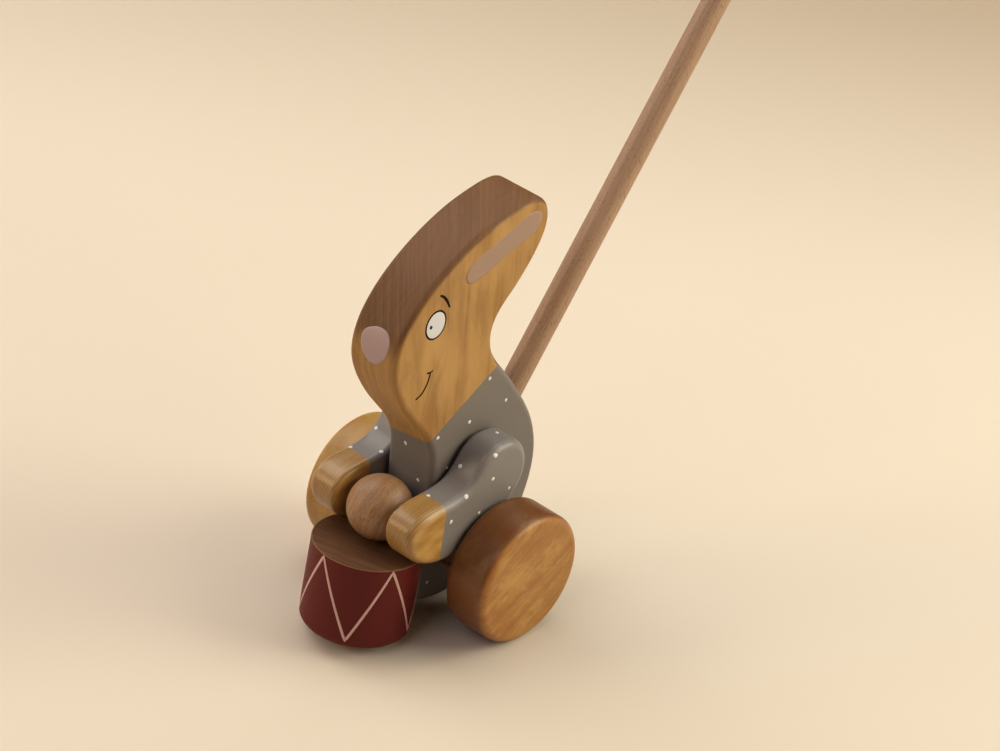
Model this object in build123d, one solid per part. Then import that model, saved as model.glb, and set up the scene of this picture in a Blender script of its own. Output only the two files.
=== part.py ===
from build123d import *
import math
import os

# Wooden push-along rabbit drummer. Millimetres, +Z up.
# Origin: on the floor, midway between the wheels, straight under the axle.
# The rabbit faces -Y, +X is its left side, the push stick leans back towards +Y.
# Every piece is drawn in the board's own upright position; at the end the whole toy is
# turned forward about its axle by the pitch angle, so that the drum's lower rim comes
# down to the floor beside the wheels.

# ---- driving dimensions ----
body_thickness = 28.0
body_edge = 3.0             # rounding of the figure's long edges
wheel_diameter = 63.5
wheel_inner_x = 33.0
wheel_thickness = 23.5
wheel_edge = 4.0
axle_diameter = 10.0
axle_bore_clearance = 0.05  # radial running clearance in the foot
axle_depth = 13.0           # how far the axle goes into each wheel
arm_inner_x = 15.5
arm_outer_x = 32.0
arm_outer_edge = 4.0
arm_inner_edge = 2.5
shoulder = (9.5, 74.3)      # y, z of the shoulder dowel
shoulder_dowel_diameter = 8.0
shoulder_bore_clearance = 0.05
shoulder_depth = 10.0
washer_diameter = 15.0
washer_inner_x = 14.3
ball_diameter = 30.0
ball_centre = (-37.2, 64.8)  # y, z at rest, just clear of the drum head
hand_dowel_diameter = 5.0
hand_dowel_clearance = 0.05
hand_depth = 8.0
drum_diameter = 50.8
drum_height = 42.3
drum_tilt = 14.42           # degrees, leaning back from the board's upright
drum_base = (-55.5, 9.0)    # y, z of the centre of the drum's underside
drum_bottom_edge = 5.0
drum_top_edge = 0.8
drum_dowel_diameter = 6.0
drum_dowel_depth = 10.0
stick_diameter = 12.0
stick_lean = 42.83          # degrees from the vertical
stick_mouth = (44.4, 81.8)  # y, z where the stick's centre line meets the back edge
stick_depth = 25.0
stick_length = 500.0
grip_diameter = 35.0
grip_depth = 20.0
cam_inner_x = 14.5
cam_base_radius = 12.0
cam_lobes = 3
cam_nose_radius = 2.2
cam_nose_centre = 13.7      # distance of each lobe's nose centre from the axle; the tip clears a resting heel by 0.3
cam_phase = -10.0           # degrees forward of the vertical, first lobe at rest
heel_radius = 2.2
heel_centre = 18.4          # distance of the heel's centre from the axle at rest
heel_angle = 5.0            # degrees forward of the vertical

pitch = 6.4                 # degrees the whole toy leans forward about the axle

axle_z = wheel_diameter / 2

# ---- outlines, y and z ----
figure_outline = [
    (-30.2, 17.6), (-29.2, 13.9), (-26.2, 11.3), (-22.0, 9.3), (-17.0, 7.6), (-9.0, 6.3), (0.0, 5.9),
    (10.0, 6.6), (20.0, 9.6), (29.0, 15.0), (36.5, 22.8), (41.8, 31.8), (45.6, 40.0),
    (48.3, 49.0), (49.3, 58.0), (48.6, 67.5), (46.3, 76.8), (42.6, 86.0), (37.6, 96.2),
    (31.4, 107.4), (25.3, 117.3), (21.5, 125.6), (20.7, 133.0), (22.6, 140.2), (27.2, 146.0),
    (34.6, 151.6), (42.4, 158.2), (49.6, 165.6), (54.6, 172.8), (57.0, 180.0), (56.2, 186.8),
    (51.6, 192.4), (44.0, 194.5), (34.0, 194.4), (23.0, 193.3), (12.0, 190.9), (1.0, 187.2),
    (-10.0, 182.2), (-19.5, 176.5), (-28.0, 169.5), (-34.5, 161.8), (-38.8, 152.6), (-39.9, 143.6),
    (-38.2, 134.6), (-34.6, 125.0), (-30.0, 116.0), (-24.8, 107.4), (-20.2, 98.9), (-17.8, 91.0),
    (-17.6, 83.5), (-18.7, 74.0), (-19.8, 62.0), (-20.2, 52.0), (-21.4, 45.4), (-24.2, 39.0), (-27.5, 28.0)]

arm_outline = [
    (9.8, 89.9), (3.6, 89.7), (-1.6, 87.2), (-6.4, 82.6), (-11.0, 78.6), (-16.2, 76.7),
    (-23.0, 76.4), (-31.0, 77.2), (-38.6, 77.7), (-44.8, 76.3), (-49.0, 72.8), (-50.5, 67.4),
    (-49.4, 61.0), (-45.2, 54.8), (-39.0, 50.2), (-32.0, 47.3), (-25.0, 46.2), (-18.0, 47.0),
    (-11.0, 49.8), (-4.0, 52.4), (3.0, 53.0), (10.0, 54.8), (16.0, 58.6), (21.0, 63.6),
    (23.8, 69.6), (24.3, 76.2), (22.2, 82.8), (16.8, 88.0)]


def bar(p0, p1, radius):
    """Round bar from p0 to p1."""
    a, b = Vector(*p0), Vector(*p1)
    d = b - a
    return Solid.make_cylinder(radius, d.length, Plane(origin=a, z_dir=d.normalized()))


def x_bar(x0, x1, y, z, radius):
    return bar((x0, y, z), (x1, y, z), radius)


def polar(radius, forward_deg):
    """Point at a distance from the axle, at an angle forward of the vertical."""
    a = math.radians(forward_deg)
    return (-radius * math.sin(a), axle_z + radius * math.cos(a))


tilt = math.radians(drum_tilt)
drum_axis = Vector(0, math.sin(tilt), math.cos(tilt))
drum_back = Vector(0, math.cos(tilt), -math.sin(tilt))
drum_origin = Vector(0, drum_base[0], drum_base[1])
drum_plane = Plane(origin=drum_origin, x_dir=Vector(1, 0, 0), z_dir=drum_axis)

lean = math.radians(stick_lean)
stick_dir = Vector(0, math.sin(lean), math.cos(lean))
stick_mouth_v = Vector(0, *stick_mouth)
stick_start = stick_mouth_v - stick_dir * stick_depth
stick_end = stick_start + stick_dir * stick_length
grip_centre = stick_end - stick_dir * grip_depth + stick_dir * (grip_diameter / 2)

# ---- drum ----
drum = Solid.make_cylinder(drum_diameter / 2, drum_height, drum_plane)
low = drum.edges().filter_by(GeomType.CIRCLE).sort_by(Axis((0, 0, 0), tuple(drum_axis)))
drum = drum.fillet(drum_bottom_edge, [low[0]])
high = drum.edges().filter_by(GeomType.CIRCLE).sort_by(Axis((0, 0, 0), tuple(drum_axis)))
drum = drum.fillet(drum_top_edge, [high[-1]])
dowel_bars = []
for height in (18.0, 31.0):
    at = drum_origin + drum_axis * height + drum_back * (drum_diameter / 2)
    p0 = at - drum_back * drum_dowel_depth
    p1 = at + drum_back * drum_dowel_depth
    dowel_bars.append(bar(p0, p1, drum_dowel_diameter / 2))
drum_dowels = Compound(dowel_bars)
for d in dowel_bars:
    drum = drum - d

# ---- figure panel: head, ear, body and foot in one board ----
outline = Wire(Edge.make_spline([Vector(0, y, z) for y, z in figure_outline], periodic=True))
panel = Solid.extrude(Face(outline), Vector(body_thickness, 0, 0)).moved(Location((-body_thickness / 2, 0, 0)))
long_edges = [e for e in panel.edges() if abs(abs(e.center().X) - body_thickness / 2) < 0.01]
panel = panel.fillet(body_edge, long_edges)
panel = panel - Solid.make_cylinder(drum_diameter / 2, drum_height + 20, Plane(origin=drum_origin - drum_axis * 5, x_dir=Vector(1, 0, 0), z_dir=drum_axis))
for d in dowel_bars:
    panel = panel - d
panel = panel - x_bar(-30, 30, 0, axle_z, axle_diameter / 2 + axle_bore_clearance)
panel = panel - x_bar(-30, 30, shoulder[0], shoulder[1], shoulder_dowel_diameter / 2 + shoulder_bore_clearance)
panel = panel - bar(stick_start, (stick_start + stick_dir * 80), stick_diameter / 2)

# ---- push stick and grip ball ----
stick = bar(stick_start, stick_end, stick_diameter / 2)
stick = stick.chamfer(0.8, None, stick.edges().filter_by(GeomType.CIRCLE))
grip = Solid.make_sphere(grip_diameter / 2, angle1=-90, angle2=90, angle3=360).moved(Location(grip_centre))
grip = grip - bar((stick_end - stick_dir * (grip_depth + 20)), stick_end, stick_diameter / 2)

# ---- wheels, axle and cams ----


def wheel(side):
    x0 = wheel_inner_x
    w = x_bar(x0, x0 + wheel_thickness, 0, axle_z, wheel_diameter / 2)
    w = w.fillet(wheel_edge, w.edges().filter_by(GeomType.CIRCLE))
    w = w - x_bar(x0 - 5, x0 + axle_depth, 0, axle_z, axle_diameter / 2)
    return w if side > 0 else w.mirror(Plane.YZ)


def cam(side):
    with BuildSketch(Plane.XY) as s:
        Circle(cam_base_radius)
        for k in range(cam_lobes):
            a = cam_phase + k * 360 / cam_lobes
            with Locations(Rot(0, 0, a) * Pos(0, cam_nose_centre, 0)):
                Circle(cam_nose_radius)
            with Locations(Rot(0, 0, a)):
                Polygon([(-6.0, 9.5), (6.0, 9.5), (cam_nose_radius, cam_nose_centre), (-cam_nose_radius, cam_nose_centre)], align=None)
        Circle(axle_diameter / 2, mode=Mode.SUBTRACT)
    # sketch X -> -Y (forward is towards -Y for positive angles), sketch Y -> Z
    plane = Plane(origin=(cam_inner_x, 0, axle_z), x_dir=(0, 1, 0), z_dir=(1, 0, 0))
    c = Solid.extrude(plane * s.sketch.face(), Vector(wheel_inner_x - cam_inner_x, 0, 0))
    return c if side > 0 else c.mirror(Plane.YZ)


axle_half = wheel_inner_x + axle_depth
axle = x_bar(-axle_half, axle_half, 0, axle_z, axle_diameter / 2)

# ---- arms ----


def arm(side):
    face = Face(Wire(Edge.make_spline([Vector(0, y, z) for y, z in arm_outline], periodic=True)))
    a = Solid.extrude(face, Vector(arm_outer_x - arm_inner_x, 0, 0)).moved(Location((arm_inner_x, 0, 0)))
    outer = [e for e in a.edges() if abs(e.center().X - arm_outer_x) < 0.01]
    a = a.fillet(arm_outer_edge, outer)
    inner = [e for e in a.edges() if abs(e.center().X - arm_inner_x) < 0.01]
    a = a.fillet(arm_inner_edge, inner)
    # small rounded heel under the elbow that rides on the cam
    hy, hz = polar(heel_centre, heel_angle)
    ty, tz = polar(heel_centre + 9, heel_angle)
    x0, x1 = arm_inner_x + 3.0, arm_outer_x - 5.0
    heel = x_bar(x0, x1, hy, hz, heel_radius)
    u = Vector(0, math.cos(math.radians(heel_angle)), math.sin(math.radians(heel_angle)))
    c0, c1 = Vector(x0, hy, hz), Vector(x0, ty, tz)
    web = Face(Wire.make_polygon([c0 - u * heel_radius, c0 + u * heel_radius, c1 + u * 5.0, c1 - u * 5.0], close=True))
    heel = heel + Solid.extrude(web, Vector(x1 - x0, 0, 0))
    a = a + heel
    a = a - x_bar(0, arm_inner_x + shoulder_depth, shoulder[0], shoulder[1], shoulder_dowel_diameter / 2)
    a = a - x_bar(0, arm_inner_x + hand_depth, ball_centre[0], ball_centre[1], hand_dowel_diameter / 2)
    return a if side > 0 else a.mirror(Plane.YZ)


def washer(side):
    w = x_bar(washer_inner_x, arm_inner_x, shoulder[0], shoulder[1], washer_diameter / 2)
    w = w - x_bar(0, 40, shoulder[0], shoulder[1], shoulder_dowel_diameter / 2)
    return w if side > 0 else w.mirror(Plane.YZ)


shoulder_half = arm_inner_x + shoulder_depth
shoulder_dowel = x_bar(-shoulder_half, shoulder_half, shoulder[0], shoulder[1], shoulder_dowel_diameter / 2)
hand_half = arm_inner_x + hand_depth
hand_dowel = x_bar(-hand_half, hand_half, ball_centre[0], ball_centre[1], hand_dowel_diameter / 2)

ball = Solid.make_sphere(ball_diameter / 2, angle1=-90, angle2=90, angle3=360).moved(Location((0, ball_centre[0], ball_centre[1])))
ball = ball - x_bar(-20, 20, ball_centre[0], ball_centre[1], hand_dowel_diameter / 2 + hand_dowel_clearance)

parts = {
    "figure_panel": panel,
    "drum": drum,
    "drum_dowels": drum_dowels,
    "push_stick": stick,
    "grip_ball": grip,
    "axle": axle,
    "wheel_left": wheel(1),
    "wheel_right": wheel(-1),
    "cam_left": cam(1),
    "cam_right": cam(-1),
    "arm_left": arm(1),
    "arm_right": arm(-1),
    "shoulder_washer_left": washer(1),
    "shoulder_washer_right": washer(-1),
    "shoulder_dowel": shoulder_dowel,
    "hand_dowel": hand_dowel,
    "beater_ball": ball,
}

axle_line = Axis((0, 0, axle_z), (1, 0, 0))
os.makedirs("parts", exist_ok=True)
for name, shape in parts.items():
    export_step(shape.rotate(axle_line, pitch), "parts/" + name + ".step")
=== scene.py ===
import math

import bmesh
import bpy
from mathutils import Matrix, Vector
from mathutils.bvhtree import BVHTree


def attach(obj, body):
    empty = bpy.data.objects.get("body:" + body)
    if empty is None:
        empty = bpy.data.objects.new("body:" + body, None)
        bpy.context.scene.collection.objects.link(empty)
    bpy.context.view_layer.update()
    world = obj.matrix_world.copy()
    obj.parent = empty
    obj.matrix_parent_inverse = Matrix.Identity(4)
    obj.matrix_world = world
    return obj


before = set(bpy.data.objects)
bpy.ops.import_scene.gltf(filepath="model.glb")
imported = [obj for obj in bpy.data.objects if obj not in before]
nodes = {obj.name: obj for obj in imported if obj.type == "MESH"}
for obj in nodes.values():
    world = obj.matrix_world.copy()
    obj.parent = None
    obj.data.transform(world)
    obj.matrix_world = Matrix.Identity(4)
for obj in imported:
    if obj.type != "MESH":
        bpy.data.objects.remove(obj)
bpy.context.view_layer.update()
MM = 0.001

# The toy leans forward about its axle; the painted details are laid out with the board upright and tilted with it.
PITCH = math.radians(6.4)
AXLE_Z = 0.03175
TILT = Matrix.Translation((0, 0, AXLE_Z)) @ Matrix.Rotation(PITCH, 4, "X") @ Matrix.Translation((0, 0, -AXLE_Z))
LEVEL = TILT.inverted()

# ------------------------------------------------------------------ camera
AZ, EL = math.radians(43.4747), math.radians(37.5379)
FPX, AIM_R, AIM_U, DIST = 3454.4, 0.02746, 0.0930, 1.58654
back = Vector((math.sin(AZ) * math.cos(EL), -math.cos(AZ) * math.cos(EL), math.sin(EL)))
right = Vector((math.cos(AZ), math.sin(AZ), 0))
up = back.cross(right)
cam_data = bpy.data.cameras.new("camera")
cam_data.sensor_width = 36.0
cam_data.lens = FPX * 36.0 / 1000.0
cam_data.clip_start, cam_data.clip_end = 0.05, 50
cam = bpy.data.objects.new("camera", cam_data)
bpy.context.scene.collection.objects.link(cam)
cam.matrix_world = TILT @ Matrix.Translation(back * DIST + right * AIM_R + up * AIM_U) @ Matrix((right, up, back)).transposed().to_4x4()
bpy.context.scene.camera = cam


# ------------------------------------------------------------------ node helpers
class Net:
    """Small helper that writes shader nodes in plain calls."""

    def __init__(self, name):
        self.mat = bpy.data.materials.new(name)
        self.mat.use_nodes = True
        self.nt = self.mat.node_tree
        self.bsdf = self.nt.nodes["Principled BSDF"]
        tc = self.node("ShaderNodeTexCoord")
        self.raw = tc.outputs["Object"]
        # position and normal in the board's upright layout
        c, s = math.cos(PITCH), math.sin(PITCH)
        self.co = self.level(self.raw, c, s, -AXLE_Z * s, AXLE_Z * (1 - c))
        self.nor = self.level(tc.outputs["Normal"], c, s, 0.0, 0.0)

    def level(self, v, c, s, oy, oz):
        comb = self.node("ShaderNodeCombineXYZ")
        self.put(comb.inputs[0], self.dot(v, (1.0, 0.0, 0.0)))
        self.put(comb.inputs[1], self.math("ADD", self.dot(v, (0.0, c, s)), oy))
        self.put(comb.inputs[2], self.math("ADD", self.dot(v, (0.0, -s, c)), oz))
        return comb.outputs[0]

    def node(self, kind, **props):
        n = self.nt.nodes.new(kind)
        for k, v in props.items():
            setattr(n, k, v)
        return n

    def link(self, a, b):
        self.nt.links.new(a, b)

    def put(self, sock, v):
        if isinstance(v, bpy.types.NodeSocket):
            self.link(v, sock)
        elif v is not None:
            sock.default_value = v

    def math(self, op, a, b=None, c=None, clamp=False):
        n = self.node("ShaderNodeMath", operation=op, use_clamp=clamp)
        self.put(n.inputs[0], a)
        if b is not None:
            self.put(n.inputs[1], b)
        if c is not None:
            self.put(n.inputs[2], c)
        return n.outputs[0]

    def vmath(self, op, a, b=None, out=0):
        n = self.node("ShaderNodeVectorMath", operation=op)
        self.put(n.inputs[0], a)
        if b is not None:
            self.put(n.inputs[1], b)
        return n.outputs[out]

    def dot(self, a, b):
        return self.vmath("DOT_PRODUCT", a, b, out=1)

    def mapping(self, v, loc=(0, 0, 0), rot=(0, 0, 0), scale=(1, 1, 1)):
        n = self.node("ShaderNodeMapping")
        self.put(n.inputs["Vector"], v)
        n.inputs["Location"].default_value = loc
        n.inputs["Rotation"].default_value = rot
        n.inputs["Scale"].default_value = scale
        return n.outputs[0]

    def noise(self, v, scale, detail=3.0, rough=0.55, distortion=0.0):
        n = self.node("ShaderNodeTexNoise")
        self.put(n.inputs["Vector"], v)
        n.inputs["Scale"].default_value = scale
        n.inputs["Detail"].default_value = detail
        n.inputs["Roughness"].default_value = rough
        n.inputs["Distortion"].default_value = distortion
        return n.outputs["Fac"]

    def ramp(self, fac, stops, mode="LINEAR"):
        n = self.node("ShaderNodeValToRGB")
        n.color_ramp.interpolation = mode
        el = n.color_ramp.elements
        while len(el) < len(stops):
            el.new(0.5)
        for e, (p, c) in zip(el, stops):
            e.position = p
            e.color = (*c, 1) if len(c) == 3 else c
        self.put(n.inputs[0], fac)
        return n.outputs[0]

    def remap(self, v, a, b, c=0.0, d=1.0, smooth=False):
        n = self.node("ShaderNodeMapRange", interpolation_type="SMOOTHSTEP" if smooth else "LINEAR")
        self.put(n.inputs["Value"], v)
        for k, x in (("From Min", a), ("From Max", b), ("To Min", c), ("To Max", d)):
            self.put(n.inputs[k], x)
        return n.outputs["Result"]

    def mix(self, fac, a, b, mode="MIX"):
        n = self.node("ShaderNodeMix", data_type="RGBA", blend_type=mode)
        self.put(n.inputs[0], fac)
        self.put(n.inputs[6], a if isinstance(a, bpy.types.NodeSocket) else (*a, 1))
        self.put(n.inputs[7], b if isinstance(b, bpy.types.NodeSocket) else (*b, 1))
        return n.outputs[2]

    def mixf(self, fac, a, b):
        n = self.node("ShaderNodeMix", data_type="FLOAT")
        self.put(n.inputs[0], fac)
        self.put(n.inputs[2], a)
        self.put(n.inputs[3], b)
        return n.outputs[0]

    def bump(self, height, strength, dist, normal=None):
        n = self.node("ShaderNodeBump")
        n.inputs["Strength"].default_value = strength
        n.inputs["Distance"].default_value = dist
        self.put(n.inputs["Height"], height)
        if normal is not None:
            self.put(n.inputs["Normal"], normal)
        return n.outputs[0]


def lin(r, g, b):
    """sRGB 0-255 to linear."""
    f = lambda c: (c / 255 / 12.92) if c / 255 <= 0.04045 else ((c / 255 + 0.055) / 1.055) ** 2.4
    return (f(r), f(g), f(b))


def wood(n, grain, pith, ring, light, dark, end=None, end_dark=0.0, warp=0.004, fibre=0.10, contrast=0.5, seed=0.0, lines=900.0, hair_amt=0.45, top_only=False):
    """Solid wood colour. grain = direction of the fibres, pith = centre of the rings across it, ring = ring spacing (m).
    Returns (colour, fibre height, ring factor)."""
    g = Vector(grain).normalized()
    rot = g.rotation_difference(Vector((0, 0, 1))).to_matrix()
    # rows of the rotation dotted with the position give coordinates along the wood
    x = n.dot(n.co, tuple(rot[0]))
    y = n.dot(n.co, tuple(rot[1]))
    z = n.dot(n.co, tuple(rot[2]))
    comb = n.node("ShaderNodeCombineXYZ")
    n.put(comb.inputs[0], x)
    n.put(comb.inputs[1], y)
    n.put(comb.inputs[2], z)
    v = comb.outputs[0]
    slow = n.noise(n.mapping(v, loc=(seed, seed * 0.7, seed * 1.3), scale=(1, 1, 0.22)), 28.0, 3.0, 0.5)
    mid = n.noise(n.mapping(v, loc=(seed * 2, 0, seed), scale=(1, 1, 0.12)), 120.0, 3.0, 0.55)
    dx = n.math("ADD", x, -pith[0])
    dy = n.math("ADD", y, -pith[1])
    r = n.math("SQRT", n.math("ADD", n.math("MULTIPLY", dx, dx), n.math("MULTIPLY", dy, dy)))
    r = n.math("ADD", r, n.math("MULTIPLY", n.math("ADD", slow, -0.5), warp * 4))
    r = n.math("ADD", r, n.math("MULTIPLY", n.math("ADD", mid, -0.5), warp * 0.35))
    t = n.math("FRACT", n.math("DIVIDE", r, ring))
    band = n.ramp(t, [(0.0, (0, 0, 0)), (0.55, (0.35, 0.35, 0.35)), (0.86, (1, 1, 1)), (0.97, (0.15, 0.15, 0.15)), (1.0, (0, 0, 0))], "B_SPLINE")
    vary = n.noise(n.mapping(v, loc=(3 + seed, 1, 2), scale=(1, 1, 0.3)), 16.0, 2.0, 0.5)
    band = n.math("MULTIPLY", band, n.remap(vary, 0.3, 0.7, 0.35, 1.0))
    fine = n.noise(n.mapping(v, loc=(seed, 5, 0), scale=(1, 1, 0.035)), 1500.0, 3.0, 0.6)
    streak = n.noise(n.mapping(v, loc=(7, seed, 0), scale=(1, 1, 0.02)), 420.0, 3.0, 0.6)
    # fine growth lines: they follow the rings on every face they come out of
    rl = n.node("ShaderNodeCombineXYZ")
    n.put(rl.inputs[0], r)
    n.put(rl.inputs[1], n.math("MULTIPLY", z, 0.02))
    n.put(rl.inputs[2], n.math("MULTIPLY", mid, 0.0012))
    hair = n.noise(rl.outputs[0], lines, 4.0, 0.6)
    col = n.mix(n.math("MULTIPLY", band, contrast), light, dark)
    col = n.mix(n.remap(hair, 0.42, 0.68, 0.0, hair_amt), col, dark)
    col = n.mix(n.remap(hair, 0.50, 0.30, 0.0, hair_amt * 0.45), col, tuple(min(1.0, c * 1.22) for c in light))
    col = n.mix(n.remap(streak, 0.3, 0.75, 0.0, fibre * 2.6), col, dark)
    col = n.mix(n.remap(fine, 0.35, 0.8, 0.0, fibre * 2.0), col, tuple(c * 0.55 for c in dark))
    col = n.mix(n.remap(vary, 0.25, 0.75, 0.0, 0.16), col, tuple(min(1.0, c * 1.25) for c in light))
    if end is not None:
        e = n.dot(n.nor, tuple(g))
        if top_only:
            e = n.remap(e, 0.12, 0.50, 0.0, end_dark, smooth=True)
        else:
            e = n.remap(n.math("ABSOLUTE", e), 0.15, 0.95, 0.0, end_dark, smooth=True)
        pore = n.noise(n.co, 1700.0, 3.0, 0.6)
        endc = n.mix(n.remap(hair, 0.35, 0.68, 0.0, 0.55), end, tuple(c * 0.62 for c in end))
        endc = n.mix(n.remap(pore, 0.45, 0.75, 0.0, 0.35), endc, tuple(c * 0.6 for c in end))
        if top_only:
            # rift-sawn board: the growth layers are upright sheets at an angle to the board's face
            rift = n.node("ShaderNodeCombineXYZ")
            n.put(rift.inputs[0], n.math("ADD", n.dot(n.co, (0.7256, 0.6881, 0.0)), n.math("MULTIPLY", n.math("ADD", slow, -0.5), 0.004)))
            n.put(rift.inputs[1], n.math("MULTIPLY", z, 0.02))
            sheet = n.noise(rift.outputs[0], 560.0, 4.0, 0.65)
            endc = n.mix(n.remap(sheet, 0.50, 0.66, 0.0, 0.55), endc, tuple(c * 0.58 for c in end))
            endc = n.mix(n.remap(sheet, 0.48, 0.34, 0.0, 0.55), endc, tuple(min(1.0, c * 1.50) for c in end))
        endc = n.mix(n.remap(vary, 0.35, 0.7, 0.0, 0.35), endc, tuple(min(1.0, c * 1.45) for c in end))
        col = n.mix(e, col, endc)
    return col, fine, band


def finish_wood(n, col, fine, band, rough=0.42, coat=0.25, coat_rough=0.22, bump=0.25, spec=0.5):
    b = n.bsdf
    n.put(b.inputs["Base Color"], col)
    n.put(b.inputs["Roughness"], n.remap(fine, 0.3, 0.75, rough - 0.06, rough + 0.10))
    b.inputs["Specular IOR Level"].default_value = spec
    b.inputs["Coat Weight"].default_value = coat
    b.inputs["Coat Roughness"].default_value = coat_rough
    n.put(b.inputs["Normal"], n.bump(fine, bump, 0.00012))
    return n.mat


# colours, linear
HEAD_L, HEAD_D, HEAD_E = lin(170, 130, 76), lin(124, 82, 42), lin(104, 68, 42)
GREY = lin(115, 107, 103)


def paint_layer(n, col, height, mask, paint, rough_wood, rough_paint, coat, coat_rough, bump=0.2, spec=0.4):
    """Wood under a coat of paint where mask is 1."""
    speck = n.noise(n.co, 900.0, 4.0, 0.6)
    cloud = n.noise(n.co, 22.0, 3.0, 0.5)
    pc = n.mix(n.remap(cloud, 0.3, 0.7, 0.0, 0.30), paint, tuple(c * 0.80 for c in paint))
    pc = n.mix(n.remap(speck, 0.3, 0.8, 0.0, 0.16), pc, tuple(min(1, c * 1.35) for c in paint))
    out = n.mix(mask, col, pc)
    b = n.bsdf
    n.put(b.inputs["Base Color"], out)
    rw = n.remap(speck, 0.3, 0.75, rough_wood - 0.06, rough_wood + 0.10)
    rp = n.remap(speck, 0.3, 0.7, rough_paint - 0.05, rough_paint + 0.07)
    n.put(b.inputs["Roughness"], n.mixf(mask, rw, rp))
    b.inputs["Specular IOR Level"].default_value = spec
    b.inputs["Coat Weight"].default_value = coat
    b.inputs["Coat Roughness"].default_value = coat_rough
    h = n.mixf(mask, n.math("MULTIPLY", height, 0.8), n.math("ADD", n.math("MULTIPLY", speck, 0.45), 0.75))
    n.put(b.inputs["Normal"], n.bump(h, bump, 0.00012))
    return n.mat


# ------------------------------------------------------------------ materials
def figure_material():
    n = Net("figure_board")
    col, fine, band = wood(n, (0.02, 0.05, 1.0), (-0.11, -0.05), 0.0105, HEAD_L, HEAD_D, HEAD_E, 0.94, warp=0.009, fibre=0.11, contrast=0.30, seed=1.7, lines=620.0, hair_amt=0.60, top_only=True)
    flat = n.remap(n.math("ABSOLUTE", n.dot(n.nor, (1.0, 0.0, 0.0))), 0.75, 0.95, 0.0, 1.0, smooth=True)
    patch = n.noise(n.mapping(n.co, loc=(0.31, 0.12, 0.05), scale=(1, 1, 0.5)), 42.0, 3.0, 0.55)
    col = n.mix(n.math("MULTIPLY", flat, n.remap(patch, 0.50, 0.66, 0.0, 0.55)), col, lin(188, 146, 90))
    col = n.mix(n.math("MULTIPLY", flat, n.remap(patch, 0.48, 0.34, 0.0, 0.45)), col, lin(140, 96, 46))
    sep = n.node("ShaderNodeSeparateXYZ")
    n.put(sep.inputs[0], n.co)
    x, y, z = sep.outputs
    # the shirt's upper edge climbs towards the back
    edge = n.math("ADD", n.math("MULTIPLY", n.math("ADD", y, 0.018), 0.43), 0.0992)
    edge = n.math("ADD", edge, n.math("MULTIPLY", n.math("ADD", x, -0.014), 0.26))
    wob = n.math("MULTIPLY", n.math("ADD", n.noise(n.co, 260.0, 2.0), -0.5), 0.0008)
    d = n.math("SUBTRACT", n.math("ADD", edge, wob), z)
    mask = n.remap(d, -0.00012, 0.00012, 0.0, 1.0)
    return paint_layer(n, col, fine, mask, GREY, 0.56, 0.54, 0.04, 0.36, 0.2, 0.22)


def arm_material():
    n = Net("arm_board")
    # ring layers lie parallel to the board's faces, so its edge shows fine stripes
    col, fine, band = wood(n, (0.0, 1.0, 0.12), (0.30, 0.0), 0.00150, lin(176, 136, 80), lin(108, 70, 36), lin(120, 82, 46), 0.25, warp=0.0009, fibre=0.10, contrast=0.92, seed=4.1, lines=1500.0, hair_amt=0.35)
    flat = n.remap(n.math("ABSOLUTE", n.dot(n.nor, (1.0, 0.0, 0.0))), 0.70, 0.95, 0.0, 0.82, smooth=True)
    patch = n.noise(n.mapping(n.co, scale=(1, 0.4, 1)), 160.0, 3.0, 0.55)
    plain = n.mix(n.remap(patch, 0.35, 0.65, 0.0, 1.0), lin(188, 146, 84), lin(158, 114, 58))
    col = n.mix(flat, col, plain)
    sep = n.node("ShaderNodeSeparateXYZ")
    n.put(sep.inputs[0], n.co)
    x, y, z = sep.outputs
    edge = n.math("ADD", n.math("MULTIPLY", n.math("ADD", z, -0.074), 0.19), -0.0278)
    wob = n.math("MULTIPLY", n.math("ADD", n.noise(n.co, 260.0, 2.0), -0.5), 0.0008)
    d = n.math("SUBTRACT", y, n.math("ADD", edge, wob))
    mask = n.remap(d, -0.00012, 0.00012, 0.0, 1.0)
    ridges = n.math("SUBTRACT", n.math("MULTIPLY", fine, 0.5), n.math("MULTIPLY", band, 0.9))
    # the sleeves' grey is the shirt grey made lighter and bluer: painted sheen standing in for the cool light on the
    # arms
    return paint_layer(n, col, ridges, mask, tuple(c * k for c, k in zip(GREY, (1.13, 1.16, 1.22))), 0.34, 0.46, 0.24, 0.26, 0.35, 0.38)


# The gain on the colours brightens a wheel's wood to stand in for light falling on it (painted light); at 1.0 it is the
# plain wood.
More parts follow.
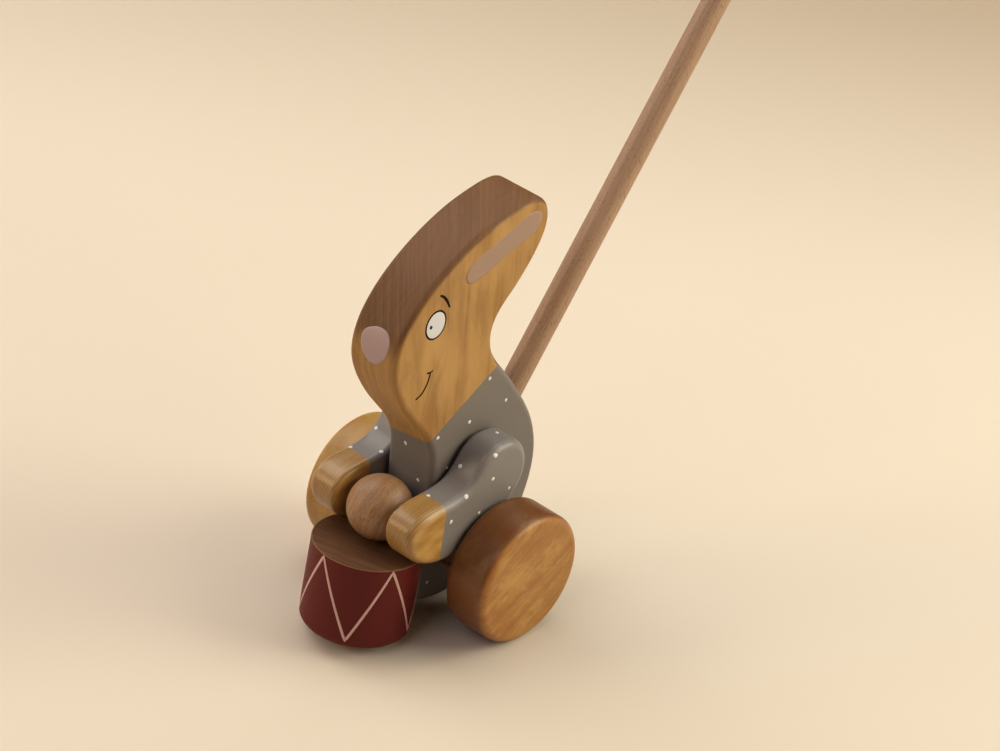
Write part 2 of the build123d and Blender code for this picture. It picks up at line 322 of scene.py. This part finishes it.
def wheel_material(name, seed, tilt, painted_light_gain=1.0, light=lin(176, 128, 62), dark=lin(118, 66, 24), edge=lin(92, 46, 17), edge_amt=0.74):
    n = Net(name)
    g = (0.0, math.cos(math.radians(tilt)), math.sin(math.radians(tilt)))
    col, fine, band = wood(n, g, (0.05, 0.045), 0.0125, tuple(c * painted_light_gain for c in light), tuple(c * painted_light_gain for c in dark), lin(106, 60, 26), 0.35, warp=0.020, fibre=0.15, contrast=0.62, seed=seed, lines=520.0, hair_amt=0.50)
    # honey-coloured clouds in the varnish, and a darker rim that is partly the wood's edge tone and partly painted
    # shade
    cloud = n.noise(n.mapping(n.co, loc=(seed, 0.3, 0), rot=(-math.radians(tilt), 0, 0), scale=(1, 0.70, 1)), 70.0, 4.0, 0.65)
    col = n.mix(n.remap(cloud, 0.51, 0.64, 0.0, 0.50), col, tuple(c * painted_light_gain for c in lin(140, 78, 24)))
    col = n.mix(n.remap(cloud, 0.48, 0.35, 0.0, 0.46), col, tuple(c * painted_light_gain for c in lin(188, 146, 84)))
    knot = n.noise(n.mapping(n.co, loc=(0, seed, 2)), 95.0, 1.0, 0.4)
    col = n.mix(n.remap(knot, 0.70, 0.80, 0.0, 0.45), col, lin(96, 56, 24))
    rim = n.math("ABSOLUTE", n.dot(n.nor, (1.0, 0.0, 0.0)))
    # painted shade: rim faces darkened towards the edge colour, on top of the wood's darker edge tone
    col = n.mix(n.remap(rim, 0.92, 0.25, 0.0, edge_amt, smooth=True), col, tuple(c * painted_light_gain for c in edge))
    # painted highlight: an orange band along the rounded edge between rim and face
    col = n.mix(n.remap(n.math("ABSOLUTE", n.math("ADD", rim, -0.72)), 0.22, 0.0, 0.0, 0.30, smooth=True), col, tuple(c * painted_light_gain for c in lin(170, 98, 40)))
    return finish_wood(n, col, fine, band, 0.46, 0.20, 0.28, 0.2, 0.30)


def ball_material(name, seed, light=lin(170, 130, 92), dark=lin(124, 84, 54)):
    n = Net(name)
    col, fine, band = wood(n, (0.35, 0.1, 1.0), (0.02, -0.045), 0.0045, light, dark, lin(132, 92, 62), 0.35, warp=0.004, fibre=0.17, contrast=0.70, seed=seed, lines=900.0, hair_amt=0.72)
    fleck = n.noise(n.mapping(n.co, rot=(0.1, -0.34, 0), scale=(1, 1, 0.14)), 1500.0, 2.0, 0.5)
    col = n.mix(n.remap(fleck, 0.58, 0.68, 0.0, 0.60), col, tuple(c * 0.50 for c in dark))
    patch = n.noise(n.mapping(n.co, loc=(seed, 1, 0)), 60.0, 2.0, 0.5)
    col = n.mix(n.remap(patch, 0.55, 0.75, 0.0, 0.40), col, tuple(c * 0.8 for c in dark))
    return finish_wood(n, col, fine, band, 0.52, 0.08, 0.32, 0.3)


def stick_material():
    n = Net("stick_beech")
    g = Vector((0, math.sin(math.radians(42.83)), math.cos(math.radians(42.83))))
    col, fine, band = wood(n, tuple(g), (0.03, 0.01), 0.004, lin(172, 137, 110), lin(134, 98, 75), lin(134, 98, 75), 0.5, warp=0.002, fibre=0.16, contrast=0.35, seed=2.2, lines=1200.0, hair_amt=0.4)
    fleck = n.noise(n.mapping(n.co, rot=(math.radians(42.83), 0, 0), scale=(1, 1, 0.10)), 1500.0, 2.0, 0.5)
    col = n.mix(n.remap(fleck, 0.58, 0.68, 0.0, 0.50), col, lin(96, 66, 48))
    return finish_wood(n, col, fine, band, 0.55, 0.05, 0.32, 0.3)


def drum_material():
    n = Net("drum_paint")
    th = math.radians(14.42)
    axis = (0.0, math.sin(th), math.cos(th))
    col, fine, band = wood(n, (1.0, 0.35, 0.0), (0.03, 0.11), 0.006, lin(112, 76, 50), lin(72, 44, 27), None, 0.0, warp=0.005, fibre=0.2, contrast=0.6, seed=6.0, lines=700.0, hair_amt=0.55)
    # height along the drum's axis from its underside
    base = (0.0, -0.0555, 0.009)
    h = n.dot(n.vmath("SUBTRACT", n.co, base), axis)
    side = n.remap(h, 0.04155, 0.0417, 1.0, 0.0)
    # painted highlight: a lighter line along the bare arris round the head, where the edge catches the light
    arris_highlight = n.math("ABSOLUTE", n.math("ADD", h, -0.0416))
    col = n.mix(n.remap(arris_highlight, 0.0006, 0.0001, 0.0, 0.7), col, lin(150, 108, 80))
    return paint_layer(n, col, fine, side, lin(88, 19, 15), 0.62, 0.52, 0.02, 0.4, 0.2, 0.20)


def flat_paint(name, rgb, rough=0.45, spec=0.5):
    n = Net(name)
    speck = n.noise(n.co, 1200.0, 3.0, 0.6)
    cloud = n.noise(n.co, 90.0, 3.0, 0.5)
    col = n.mix(n.remap(cloud, 0.3, 0.7, 0.0, 0.35), rgb, tuple(c * 0.86 for c in rgb))
    col = n.mix(n.remap(speck, 0.35, 0.75, 0.0, 0.2), col, tuple(min(1, c * 1.15) for c in rgb))
    b = n.bsdf
    n.put(b.inputs["Base Color"], col)
    n.put(b.inputs["Roughness"], n.remap(speck, 0.3, 0.7, rough - 0.05, rough + 0.08))
    b.inputs["Specular IOR Level"].default_value = spec
    n.put(b.inputs["Normal"], n.bump(speck, 0.2, 0.00008))
    return n.mat


def assign(node, mat):
    o = nodes[node]
    if not o.data.materials:
        o.data.materials.append(mat)
    for i in range(len(o.data.materials)):
        o.data.materials[i] = mat
    for s in o.material_slots:
        s.material = mat


m_dowel = ball_material("dowel_beech", 8.0, lin(168, 128, 90), lin(128, 88, 58))
assign("figure_panel", figure_material())
m_arm = arm_material()
assign("arm_left", m_arm)
assign("arm_right", m_arm)
assign("wheel_left", wheel_material("wheel_varnish_left", 3.3, 22.0))
# painted light: the far wheel is the same wood as the near one, drawn lighter and more golden to stand in for the light
# on its inner face
assign("wheel_right", wheel_material("wheel_varnish_painted_light_right", 5.9, -35.0, 1.62, lin(172, 148, 82), lin(142, 104, 48), lin(112, 76, 34), 0.55))
assign("beater_ball", ball_material("ball_beech", 2.9))
assign("grip_ball", ball_material("grip_beech", 9.4))
assign("push_stick", stick_material())
assign("drum", drum_material())
for k in ("axle", "cam_left", "cam_right", "shoulder_washer_left", "shoulder_washer_right", "shoulder_dowel", "hand_dowel", "drum_dowels"):
    assign(k, m_dowel)

# ------------------------------------------------------------------ painted details, laid on the surfaces
trees = {}


def tree(*names):
    key = names
    if key not in trees:
        verts, polys = [], []
        for k in names:
            me = nodes[k].data
            mw = LEVEL @ nodes[k].matrix_world
            off = len(verts)
            verts += [mw @ v.co for v in me.vertices]
            polys += [[off + i for i in p.vertices] for p in me.polygons]
        trees[key] = BVHTree.FromPolygons(verts, polys)
    return trees[key]


def land(bvh, p, d, lift):
    """Point where the ray from p along d meets the surface, lifted off it, and the surface normal there."""
    hit, nor, _, _ = bvh.ray_cast(p, d)
    if hit is None:
        return None, None
    if nor.dot(d) > 0:
        nor = -nor
    return hit + nor * lift, nor


def skin(name, rings_list, bvh, d, lift, mat, body, sink=0.0002):
    """Thin closed paint skins. Each entry is a list of rings (outer first) of start points; the last ring may be one point."""
    bm = bmesh.new()
    for rings in rings_list:
        rows, lows = [], []
        for k, ring in enumerate(rings):
            row = []
            edge = k == 0
            for p in ring:
                h, nor = land(bvh, p, d, lift * (0.15 if edge else 1.0))
                if h is None:
                    raise RuntimeError("paint misses the surface: " + name)
                row.append((h, nor))
            rows.append([bm.verts.new(h) for h, _ in row])
            if edge:
                lows = [bm.verts.new(h - nr * (sink + lift * 0.15)) for h, nr in row]
        m = len(rows[0])
        for a, b in zip(rows, rows[1:]):
            if len(b) == 1:
                for i in range(m):
                    bm.faces.new((a[i], a[(i + 1) % m], b[0]))
            else:
                for i in range(m):
                    bm.faces.new((a[i], a[(i + 1) % m], b[(i + 1) % m], b[i]))
        for i in range(m):
            bm.faces.new((lows[i], lows[(i + 1) % m], rows[0][(i + 1) % m], rows[0][i]))
        bm.faces.new(list(reversed(lows)))
    bmesh.ops.recalc_face_normals(bm, faces=bm.faces)
    me = bpy.data.meshes.new(name)
    bm.to_mesh(me)
    bm.free()
    me.transform(TILT)
    for p in me.polygons:
        p.use_smooth = True
    me.materials.append(mat)
    o = bpy.data.objects.new(name, me)
    bpy.context.scene.collection.objects.link(o)
    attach(o, body)
    return o


def ring_set(outline, centre, shrink=(1.0, 0.93, 0.6, 0.3)):
    rings = [[centre + (p - centre) * s for p in outline] for s in shrink]
    rings.append([centre])
    return rings


def blob(c, u, v, a, b, turn=0.0, count=24, wobble=0.0, phase=0.0):
    """Ellipse outline round c in the plane of u and v."""
    pts = []
    for i in range(count):
        t = 2 * math.pi * i / count
        k = 1 + wobble * math.sin(2 * t + phase) + wobble * 0.6 * math.sin(3 * t + 2.1 * phase)
        x, y = a * k * math.cos(t), b * k * math.sin(t)
        x, y = x * math.cos(turn) - y * math.sin(turn), x * math.sin(turn) + y * math.cos(turn)
        pts.append(c + u * x + v * y)
    return pts


def smooth_line(points, steps=10):
    """Catmull-Rom curve through the points."""
    out = []
    p = [points[0]] + list(points) + [points[-1]]
    for i in range(1, len(p) - 2):
        for k in range(steps):
            t = k / steps
            a, b, c, d = p[i - 1], p[i], p[i + 1], p[i + 2]
            out.append(0.5 * ((2 * b) + (c - a) * t + (2 * a - 5 * b + 4 * c - d) * t * t + (3 * b - a - 3 * c + d) * t ** 3))
    out.append(points[-1].copy())
    return out


def stroke(name, line, widths, bvh, ray_of, lift, mat, body, closed=False, sink=0.0002):
    """A painted line: a closed ribbon along line, laid on the surface. ray_of(p) gives the ray's direction there."""
    bm = bmesh.new()
    n = len(line)
    rows = []
    for i, p in enumerate(line):
        a = line[i - 1] if (i or closed) else line[i]
        b = line[(i + 1) % n] if (i < n - 1 or closed) else line[i]
        t = (b - a).normalized()
        d = ray_of(p)
        s = t.cross(d).normalized()
        w = widths[i] if isinstance(widths, (list, tuple)) else widths
        prof = ((-1.0, 0.1), (-0.8, 0.7), (-0.35, 1.0), (0.35, 1.0), (0.8, 0.7), (1.0, 0.1))
        row = []
        ends = []
        for k, (x, h) in enumerate(prof):
            q, nor = land(bvh, p + s * (x * w / 2), d, lift * h)
            if q is None:
                raise RuntimeError("paint misses the surface: " + name)
            row.append(bm.verts.new(q))
            if k in (0, len(prof) - 1):
                ends.append(bm.verts.new(q - nor * (sink + lift * h)))
        rows.append([ends[0]] + row + [ends[1]])
    m = len(rows[0])
    pairs = list(zip(rows, rows[1:])) + ([(rows[-1], rows[0])] if closed else [])
    for a, b in pairs:
        for k in range(m):
            bm.faces.new((a[k], a[(k + 1) % m], b[(k + 1) % m], b[k]))
    if not closed:
        bm.faces.new(rows[0])
        bm.faces.new(list(reversed(rows[-1])))
    bmesh.ops.recalc_face_normals(bm, faces=bm.faces)
    me = bpy.data.meshes.new(name)
    bm.to_mesh(me)
    bm.free()
    me.transform(TILT)
    for p in me.polygons:
        p.use_smooth = True
    me.materials.append(mat)
    o = bpy.data.objects.new(name, me)
    bpy.context.scene.collection.objects.link(o)
    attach(o, body)
    return o


Y, Z, X = Vector((0, 1, 0)), Vector((0, 0, 1)), Vector((1, 0, 0))
fig = tree("figure_panel")
m_white = flat_paint("paint_white", lin(222, 223, 224))
m_dark = flat_paint("paint_dark_brown", lin(20, 7, 5), 0.6, 0.08)
m_eye = flat_paint("paint_eye_white", lin(204, 202, 210), 0.42)
m_nose = flat_paint("paint_nose_mauve", lin(164, 136, 134))
m_ear = flat_paint("paint_inner_ear", lin(152, 122, 106))
m_zig = flat_paint("paint_pale_pink", lin(198, 158, 152))


def side_point(side, y, z, out=0.03):
    return Vector((side * out, y * MM, z * MM))


for side, tag in ((1, "left"), (-1, "right")):
    d = Vector((-side, 0, 0))
    c = side_point(side, -14.6, 159.9)
    skin("eye_white_" + tag, [ring_set(blob(c, Y, Z, 0.0068, 0.0061, math.radians(81), 40), c)], fig, d, 0.00010, m_eye, "figure")
    stroke("eye_outline_" + tag, blob(c, Y, Z, 0.0067, 0.0060, math.radians(81), 64), 0.00100, fig, lambda p, d=d: d, 0.00016, m_dark, "figure", closed=True)
    c = side_point(side, -17.6, 160.3)
    skin("pupil_" + tag, [ring_set(blob(c, Y, Z, 0.00085, 0.0010, 0.3, 20), c)], fig, d, 0.00020, m_dark, "figure")
    brow = smooth_line([side_point(side, *p) for p in ((-11.6, 173.9), (-9.3, 171.8), (-7.4, 168.6), (-6.0, 164.8))])
    k = len(brow) - 1
    stroke("brow_" + tag, brow, [0.00112 * (0.75 + 0.5 * math.sin(math.pi * i / k)) for i in range(k + 1)], fig, lambda p, d=d: d, 0.00012, m_dark, "figure")
    mouth = smooth_line([side_point(side, *p) for p in ((-27.6, 126.8), (-24.2, 127.8), (-21.6, 130.0), (-19.6, 133.0), (-18.3, 136.3))])
    stroke("mouth_" + tag, mouth, 0.00098, fig, lambda p, d=d: d, 0.00012, m_dark, "figure")
    tick = smooth_line([side_point(side, *p) for p in ((-20.4, 137.2), (-18.4, 136.5), (-16.8, 136.8))])
    stroke("mouth_tick_" + tag, tick, 0.00085, fig, lambda p, d=d: d, 0.00012, m_dark, "figure")

    # inner ear: a long soft leaf shape
    ear = [(48.4, 187.3), (51.4, 184.9), (51.0, 180.6), (47.2, 176.9), (40.2, 175.2), (33.7, 174.9), (27.3, 173.3), (20.8, 171.6), (13.9, 170.2), (7.9, 169.9),
           (4.7, 172.0), (4.2, 175.8), (6.7, 178.9), (12.7, 180.9), (20.2, 182.3), (28.3, 184.0), (35.3, 185.9), (42.7, 187.5)]
    loop = smooth_line([side_point(side, *p) for p in ear + ear[:1]], 4)[:-1]
    mid = side_point(side, 28.0, 179.2)
    rings = [loop]
    for s, t in ((0.95, 0.90), (0.75, 0.5), (0.5, 0.2)):
        rings.append([Vector((p.x, mid.y + (p.y - mid.y) * s, mid.z + (p.y - mid.y) * s * 0.30 + (p.z - mid.z - (p.y - mid.y) * 0.30) * t)) for p in loop])
    rings.append([mid])
    skin("inner_ear_" + tag, [rings], fig, d, 0.00010, m_ear, "figure")

# nose: a rounded patch over the tip of the snout
nose = [(-5.7, 160.2), (-1.9, 161.9), (2.5, 162.3), (6.1, 161.1), (8.2, 158.0), (8.1, 153.6), (6.1, 149.6), (2.9, 146.9), (-0.8, 146.3), (-4.2, 148.2), (-6.6, 151.2), (-7.8, 154.8), (-7.6, 158.0)]
loop = smooth_line([Vector((x * MM, -0.08, z * MM)) for x, z in nose + nose[:1]], 4)[:-1]
mid = Vector((0.0003, -0.08, 0.1546))
skin("nose_patch", [ring_set(loop, mid, (1.0, 0.94, 0.8, 0.6, 0.4, 0.2))], fig, Y, 0.00010, m_nose, "figure")

# zigzag line round the drum
th = math.radians(14.42)
d_axis = Vector((0, math.sin(th), math.cos(th)))
d_front = Vector((0, -math.cos(th), math.sin(th)))
d_base = Vector((0, -0.0555, 0.009))
drum_tree = tree("drum")


def drum_ray(p):
    q = p - d_base
    q -= d_axis * q.dot(d_axis)
    return -q.normalized()


def drum_point(deg, h):
    a = math.radians(deg)
    return d_base + (X * math.sin(a) + d_front * math.cos(a)) * 0.030 + d_axis * (h * MM)


corners = [(-80, 40.6), (-42, 5.0), (-5.4, 41.0), (34.0, 4.6), (71.0, 41.2), (112.0, 5.0), (146, 40.8)]
zig = []
for (a0, h0), (a1, h1) in zip(corners, corners[1:]):
    for k in range(24):
        t = k / 24
        zig.append(drum_point(a0 + (a1 - a0) * t, h0 + (h1 - h0) * t))
zig.append(drum_point(*corners[-1]))
stroke("drum_zigzag", zig, 0.00125, drum_tree, drum_ray, 0.00014, m_zig, "figure")


# white dots on the shirt and sleeves
def dots(name, points, bvh, body, mirror_of=None):
    rings_all = []
    bm_obj = []
    for i, (x, y, z, r, e) in enumerate(points):
        p = Vector((x * MM, y * MM, z * MM))
        hit, nor, _, _ = bvh.find_nearest(p)
        if (p - hit).length > 0.006:
            raise RuntimeError("dot off the surface: " + name)
        u = nor.cross(Z if abs(nor.z) < 0.8 else X).normalized()
        v = nor.cross(u)
        c = hit + nor * 0.003
        rings_all.append((ring_set(blob(c, u, v, r * MM, r * MM * e, i * 1.3, 18, 0.05, i * 0.9), c, (1.0, 0.8, 0.45)), -nor))
    objs = []
    for k, (rings, d) in enumerate(rings_all):
        objs.append((rings, d))
    bm = bmesh.new()
    for rings, d in objs:
        rows, lows = [], []
        for k, ring in enumerate(rings):
            row = []
            for p in ring:
                h, nr = land(bvh, p, d, (0.00002, 0.00012, 0.00016, 0.00017)[min(k, 3)])
                if h is None:
                    raise RuntimeError("dot misses the surface: " + name)
                row.append((h, nr))
            rows.append([bm.verts.new(h) for h, _ in row])
            if k == 0:
                lows = [bm.verts.new(h - nr * 0.0002) for h, nr in row]
        m = len(rows[0])
        for a, b in zip(rows, rows[1:]):
            for i in range(m):
                if len(b) == 1:
                    bm.faces.new((a[i], a[(i + 1) % m], b[0]))
                else:
                    bm.faces.new((a[i], a[(i + 1) % m], b[(i + 1) % m], b[i]))
        for i in range(m):
            bm.faces.new((lows[i], lows[(i + 1) % m], rows[0][(i + 1) % m], rows[0][i]))
        bm.faces.new(list(reversed(lows)))
    bmesh.ops.recalc_face_normals(bm, faces=bm.faces)
    me = bpy.data.meshes.new(name)
    bm.to_mesh(me)
    bm.free()
    me.transform(TILT)
    for p in me.polygons:
        p.use_smooth = True
    me.materials.append(m_white)
    o = bpy.data.objects.new(name, me)
    bpy.context.scene.collection.objects.link(o)
    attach(o, body)
    return o


dots("shirt_dots", [
    (14, 18.7, 112.6, 0.85, 1.0), (14, 29.0, 94.7, 0.9, 0.9), (14, 5.6, 95.7, 0.95, 1.05), (13.9, -14.3, 98.2, 0.9, 1.1), (14, -8.9, 78.1, 0.8, 1.0),
    (-3.0, -17.5, 87.9, 0.9, 1.2), (5.7, -18.9, 72.5, 0.8, 1.1), (14, -22.6, 20.1, 0.8, 1.0), (14, 8, 62, 0.85, 1.0), (14, -12, 50, 0.9, 1.0), (14, 26, 50, 0.85, 1.0),
    (14, 22, 24, 0.9, 1.0),
    (-14, 17.0, 106.0, 0.9, 1.0), (-14, 27.5, 92.0, 0.9, 1.1), (-14, 4.0, 93.0, 0.85, 1.0), (-14, -9.0, 84.0, 0.9, 1.0), (-14, 38, 76, 0.85, 1.0), (-14, 33, 55, 0.9, 0.95),
    (-14, 10, 60, 0.85, 1.0), (-14, -12, 46, 0.9, 1.0), (-14, 26, 34, 0.85, 1.0), (-14, 5, 14, 0.85, 1.0),
    (4, 29.5, 108, 0.9, 1.0), (-6, 41, 90, 0.9, 1.1), (5, 49, 62, 0.85, 1.0), (-4, 46, 42, 0.9, 1.0), (3, 33, 21, 0.85, 1.0)], fig, "figure")
near_arm = [
    (21.9, 14.9, 88.8, 0.85, 1.0), (31.5, 3.8, 87.5, 1.0, 1.2), (20.4, -7.2, 81.8, 0.95, 1.15), (32.0, 1.7, 75.7, 0.9, 1.15), (32.0, 12.0, 64.4, 0.8, 1.0),
    (31.2, -14.7, 74.9, 1.1, 1.0), (20.2, -27.0, 76.9, 1.0, 0.8), (32.0, -25.0, 67.2, 0.9, 1.2), (32.0, -7.3, 61.6, 0.8, 1.0), (24.5, 24, 74, 0.9, 1.0), (24, 19, 61, 0.9, 1.0)]
dots("sleeve_dots_left", near_arm, tree("arm_left"), "arms")
dots("sleeve_dots_right", [
    (-28.4, -10.9, 78.7, 0.9, 1.15), (-29.1, -26.4, 76.7, 1.0, 0.9), (-17.0, -19.0, 75.9, 1.0, 0.9), (-22, 3, 89.5, 0.9, 1.0), (-32, 8, 78, 0.9, 1.1), (-32, -6, 70, 0.9, 1.0),
    (-32, -22, 62, 0.95, 1.0), (-32, 15, 68, 0.9, 1.0), (-24.5, 24, 74, 0.9, 1.0), (-20, -2, 86, 0.9, 1.1), (-32, -2, 58, 0.85, 1.0)], tree("arm_right"), "arms")

# ------------------------------------------------------------------ floor and light
bm = bmesh.new()
bmesh.ops.create_grid(bm, x_segments=1, y_segments=1, size=6.0)
me = bpy.data.meshes.new("floor")
bm.to_mesh(me)
bm.free()
floor = bpy.data.objects.new("floor", me)
bpy.context.scene.collection.objects.link(floor)
n = Net("floor_paper")
cl = n.noise(n.co, 3.0, 2.0, 0.5)
paper = n.mix(n.remap(cl, 0.3, 0.7, 0.0, 1.0), (0.655, 0.556, 0.470), (0.645, 0.546, 0.460))
# the paper falls off into the shade far behind the toy
away = n.dot(n.raw, (-0.55, 1.0, 0.0))
paper = n.mix(n.remap(away, 0.30, 0.98, 0.0, 1.0, smooth=True), paper, (0.375, 0.280, 0.200))
n.put(n.bsdf.inputs["Base Color"], paper)
n.bsdf.inputs["Roughness"].default_value = 0.85
n.bsdf.inputs["Specular IOR Level"].default_value = 0.25
floor.data.materials.append(n.mat)

world = bpy.data.worlds.new("studio")
world.use_nodes = True
world.node_tree.nodes["Background"].inputs[0].default_value = (*lin(255, 244, 230), 1)
world.node_tree.nodes["Background"].inputs[1].default_value = 0.01
bpy.context.scene.world = world


def area(name, loc, target, size, power, color):
    d = bpy.data.lights.new(name, "AREA")
    d.shape = "RECTANGLE"
    d.size, d.size_y = size
    d.energy = power
    d.color = color
    o = bpy.data.objects.new(name, d)
    bpy.context.scene.collection.objects.link(o)
    o.location = loc
    o.rotation_mode = "QUATERNION"
    o.rotation_quaternion = (Vector(target) - Vector(loc)).to_track_quat("-Z", "Y")
    return o


def lamp(name, az, el, dist, size, power, color):
    """Soft panel aimed at the toy; az from +X towards +Y and el are taken with the board upright."""
    a, e = math.radians(az), math.radians(el)
    o = area(name, (dist * math.cos(a) * math.cos(e), dist * math.sin(a) * math.cos(e), dist * math.sin(e) + 0.06), (0, 0, 0.06), (size, size), power, color)
    o.matrix_world = TILT @ Matrix.Translation(o.location) @ o.rotation_quaternion.to_matrix().to_4x4()


lamp("key_back_right", 45, 25, 1.8, 1.2, 32.0, (1.0, 0.965, 0.75))
lamp("side_right", 0, 25, 1.8, 0.9, 4.2, (1.0, 0.72, 0.45))
lamp("low_front_left", 225, 25, 1.8, 0.8, 11.0, (1.0, 0.80, 0.50))
lamp("low_left", 180, 25, 1.8, 0.9, 5.6, (1.0, 0.92, 0.78))
lamp("high_left", 180, 55, 1.9, 1.1, 13.0, (1.0, 0.98, 0.90))
lamp("high_back_left", 135, 55, 1.9, 1.1, 7.4, (1.0, 0.96, 0.87))
lamp("high_back", 90, 55, 1.9, 1.1, 9.0, (0.92, 1.0, 0.95))
lamp("high_front", 270, 55, 1.9, 1.0, 6.0, (0.97, 0.93, 1.0))

bpy.context.scene.view_settings.view_transform = "Standard"
bpy.context.scene.view_settings.look = "None"
